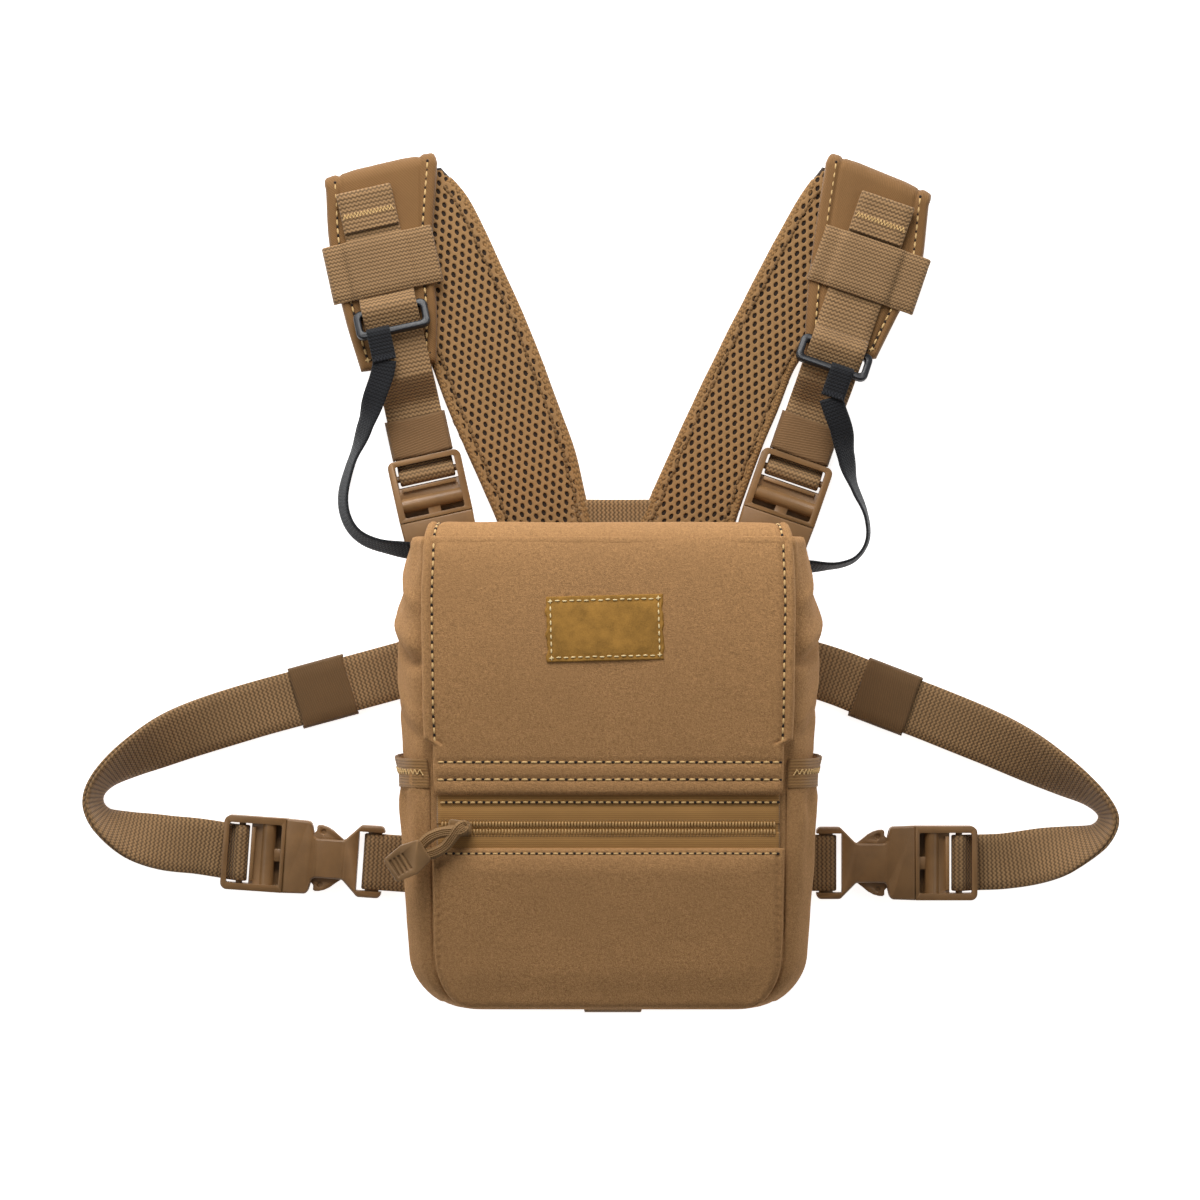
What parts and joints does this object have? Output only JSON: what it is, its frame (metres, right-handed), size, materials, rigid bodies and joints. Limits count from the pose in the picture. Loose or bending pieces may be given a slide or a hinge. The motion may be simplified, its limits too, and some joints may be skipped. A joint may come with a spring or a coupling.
{
  "type": "binocular harness pack",
  "caption": "Chest pack for binoculars with a fold-over lid, zipped front pocket, side pockets, padded shoulder straps, side straps and side-release buckles, laid on its back",
  "frame": {"origin": "on the floor under the middle of the pack, on the underside of the yoke that the pack lies on", "axes": "+Z out of the front panel, +Y to the lid hinge and the shoulder straps, +X to the right as the front is seen"},
  "size_m": [0.4603, 0.383, 0.1018],
  "materials": {
    "shell_fabric": "brushed softshell, matt",
    "zipper_tape": "woven tape",
    "zipper_coils": "nylon coil",
    "elastic_band": "ribbed elastic",
    "webbing": "woven nylon webbing",
    "magnet": "nickel-plated disc",
    "spacer_mesh": "air mesh over foam",
    "pad_cordura": "coated nylon cloth over foam",
    "label_leather": "sewn blank label, suede-like",
    "slider_metal": "painted die-cast",
    "pull_cord": "braided flat cord",
    "toggle_plastic": "moulded, satin",
    "tether_webbing": "woven narrow webbing",
    "ring_plastic": "moulded, satin",
    "buckle_plastic": "moulded acetal, fine texture"
  },
  "bodies": {
    "root": {"back_panel": "shell_fabric", "left_side_panel": "shell_fabric", "right_side_panel": "shell_fabric", "bottom_panel": "shell_fabric", "front_panel": "shell_fabric", "front_pocket_panel": "shell_fabric", "zipper_tape": "zipper_tape", "zipper_coils": "zipper_coils", "left_side_pocket": "shell_fabric", "right_side_pocket": "shell_fabric", "pocket_bindings": "elastic_band", "bottom_webbing": "webbing", "front_magnets": "magnet", "harness_yoke": "spacer_mesh", "yoke_bridge_webbing": "webbing", "left_pad_rear": "spacer_mesh", "right_pad_rear": "spacer_mesh", "upper_anchor_tabs": "webbing", "lower_anchor_tabs": "webbing", "left_upper_socket": "buckle_plastic", "right_upper_socket": "buckle_plastic", "left_lower_socket": "buckle_plastic", "right_lower_socket": "buckle_plastic", "left_side_strap": "webbing", "right_side_strap": "webbing", "left_tether": "tether_webbing", "right_tether": "tether_webbing"},
    "lid": {"lid_shell": "shell_fabric", "lid_patch": "label_leather", "lid_magnets": "magnet"},
    "zipper_slider_body": {"zipper_slider": "slider_metal"},
    "zipper_pull": {"pull_cord": "pull_cord", "pull_toggle": "toggle_plastic"},
    "left_shoulder": {"left_pad_front": "pad_cordura", "left_shoulder_webbing": "webbing", "left_keeper_band": "webbing", "left_upper_plug": "buckle_plastic"},
    "left_ring_body": {"left_ring": "ring_plastic", "left_tether_end": "tether_webbing"},
    "left_sleeve_body": {"left_sleeve": "elastic_band"},
    "left_lower_buckle": {"left_lower_plug": "buckle_plastic"},
    "left_keeper_body": {"left_strap_keeper": "elastic_band"},
    "left_upper_lever_a_body": {"left_upper_lever_a": "buckle_plastic"},
    "left_upper_lever_b_body": {"left_upper_lever_b": "buckle_plastic"},
    "left_lower_lever_a_body": {"left_lower_lever_a": "buckle_plastic"},
    "left_lower_lever_b_body": {"left_lower_lever_b": "buckle_plastic"},
    "right_shoulder": {"right_pad_front": "pad_cordura", "right_shoulder_webbing": "webbing", "right_keeper_band": "webbing", "right_upper_plug": "buckle_plastic"},
    "right_ring_body": {"right_ring": "ring_plastic", "right_tether_end": "tether_webbing"},
    "right_sleeve_body": {"right_sleeve": "elastic_band"},
    "right_lower_buckle": {"right_lower_plug": "buckle_plastic"},
    "right_keeper_body": {"right_strap_keeper": "elastic_band"},
    "right_upper_lever_a_body": {"right_upper_lever_a": "buckle_plastic"},
    "right_upper_lever_b_body": {"right_upper_lever_b": "buckle_plastic"},
    "right_lower_lever_a_body": {"right_lower_lever_a": "buckle_plastic"},
    "right_lower_lever_b_body": {"right_lower_lever_b": "buckle_plastic"}
  },
  "joints": [
    {"name": "lid_hinge", "type": "hinge", "parent": "root", "child": "lid", "pos_m": [0, 0.107, 0.0135], "axis": [-1, 0, 0], "range_deg": [0, 80]},
    {"name": "zipper_slide", "type": "slide", "parent": "root", "child": "zipper_slider_body", "axis": [1, 0, 0], "range_m": [0, 0.126]},
    {"name": "pull_swing", "type": "hinge", "parent": "zipper_slider_body", "child": "zipper_pull", "pos_m": [-0.0635, -0.0217, 0.0963], "axis": [-0.515, 0.8572, 0], "range_deg": [0, 150]},
    {"name": "left_upper_unclip", "type": "slide", "parent": "root", "child": "left_shoulder", "axis": [-0.2164, 0.9763, 0], "range_m": [0, 0.028], "deforming": ["left_upper_lever_a", "left_upper_lever_b", "left_pad_rear", "left_tether"]},
    {"name": "left_lower_unclip", "type": "slide", "parent": "root", "child": "left_lower_buckle", "axis": [-0.9976, 0.0698, 0], "range_m": [0, 0.028], "deforming": ["left_lower_lever_a", "left_lower_lever_b", "left_side_strap"]},
    {"name": "left_upper_lever_a", "type": "hinge", "parent": "left_shoulder", "child": "left_upper_lever_a_body", "pos_m": [-0.08456, 0.1097, 0.005], "axis": [0, 0, 1], "range_deg": [0, 9], "stiffness_Nm_per_rad": 0.1},
    {"name": "left_upper_lever_b", "type": "hinge", "parent": "left_shoulder", "child": "left_upper_lever_b_body", "pos_m": [-0.06855, 0.11325, 0.005], "axis": [0, 0, -1], "range_deg": [0, 9], "stiffness_Nm_per_rad": 0.1},
    {"name": "left_lower_lever_a", "type": "hinge", "parent": "left_lower_buckle", "child": "left_lower_lever_a_body", "pos_m": [-0.14357, -0.04694, 0.005], "axis": [0, 0, 1], "range_deg": [0, 9], "stiffness_Nm_per_rad": 0.1},
    {"name": "left_lower_lever_b", "type": "hinge", "parent": "left_lower_buckle", "child": "left_lower_lever_b_body", "pos_m": [-0.14242, -0.03058, 0.005], "axis": [0, 0, -1], "range_deg": [0, 9], "stiffness_Nm_per_rad": 0.1},
    {"name": "left_ring_swing", "type": "hinge", "parent": "left_shoulder", "child": "left_ring_body", "pos_m": [-0.09751, 0.20597, 0.01472], "axis": [-0.9763, -0.2164, 0], "range_deg": [0, 60]},
    {"name": "left_sleeve_slide", "type": "slide", "parent": "left_shoulder", "child": "left_sleeve_body", "axis": [-0.2164, 0.9763, 0], "range_m": [0, 0.007]},
    {"name": "left_keeper_slide", "type": "slide", "parent": "root", "child": "left_keeper_body", "axis": [0.9648, 0.263, 0], "range_m": [-0.01, 0.01]},
    {"name": "right_upper_unclip", "type": "slide", "parent": "root", "child": "right_shoulder", "axis": [0.3256, 0.9455, 0], "range_m": [0, 0.028], "deforming": ["right_upper_lever_a", "right_upper_lever_b", "right_pad_rear", "right_tether"]},
    {"name": "right_lower_unclip", "type": "slide", "parent": "root", "child": "right_lower_buckle", "axis": [1, 0, 0], "range_m": [0, 0.028], "deforming": ["right_lower_lever_a", "right_lower_lever_b", "right_side_strap"]},
    {"name": "right_upper_lever_a", "type": "hinge", "parent": "right_shoulder", "child": "right_upper_lever_a_body", "pos_m": [0.06807, 0.11414, 0.005], "axis": [0, 0, 1], "range_deg": [0, 9], "stiffness_Nm_per_rad": 0.1},
    {"name": "right_upper_lever_b", "type": "hinge", "parent": "right_shoulder", "child": "right_upper_lever_b_body", "pos_m": [0.08358, 0.1088, 0.005], "axis": [0, 0, -1], "range_deg": [0, 9], "stiffness_Nm_per_rad": 0.1},
    {"name": "right_lower_lever_a", "type": "hinge", "parent": "right_lower_buckle", "child": "right_lower_lever_a_body", "pos_m": [0.1356, -0.0337, 0.005], "axis": [0, 0, 1], "range_deg": [0, 9], "stiffness_Nm_per_rad": 0.1},
    {"name": "right_lower_lever_b", "type": "hinge", "parent": "right_lower_buckle", "child": "right_lower_lever_b_body", "pos_m": [0.1356, -0.0501, 0.005], "axis": [0, 0, -1], "range_deg": [0, 9], "stiffness_Nm_per_rad": 0.1},
    {"name": "right_ring_swing", "type": "hinge", "parent": "right_shoulder", "child": "right_ring_body", "pos_m": [0.10245, 0.1888, 0.01472], "axis": [-0.9455, 0.3256, 0], "range_deg": [0, 60]},
    {"name": "right_sleeve_slide", "type": "slide", "parent": "right_shoulder", "child": "right_sleeve_body", "axis": [0.3256, 0.9455, 0], "range_m": [0, 0.007]},
    {"name": "right_keeper_slide", "type": "slide", "parent": "root", "child": "right_keeper_body", "axis": [0.9342, -0.3567, 0], "range_m": [-0.01, 0.01]}
  ],
  "couplings": [
    {"joint": "left_upper_lever_a", "follows": "left_upper_lever_b", "ratio": 1},
    {"joint": "left_lower_lever_a", "follows": "left_lower_lever_b", "ratio": 1},
    {"joint": "right_upper_lever_a", "follows": "right_upper_lever_b", "ratio": 1},
    {"joint": "right_lower_lever_a", "follows": "right_lower_lever_b", "ratio": 1}
  ]
}
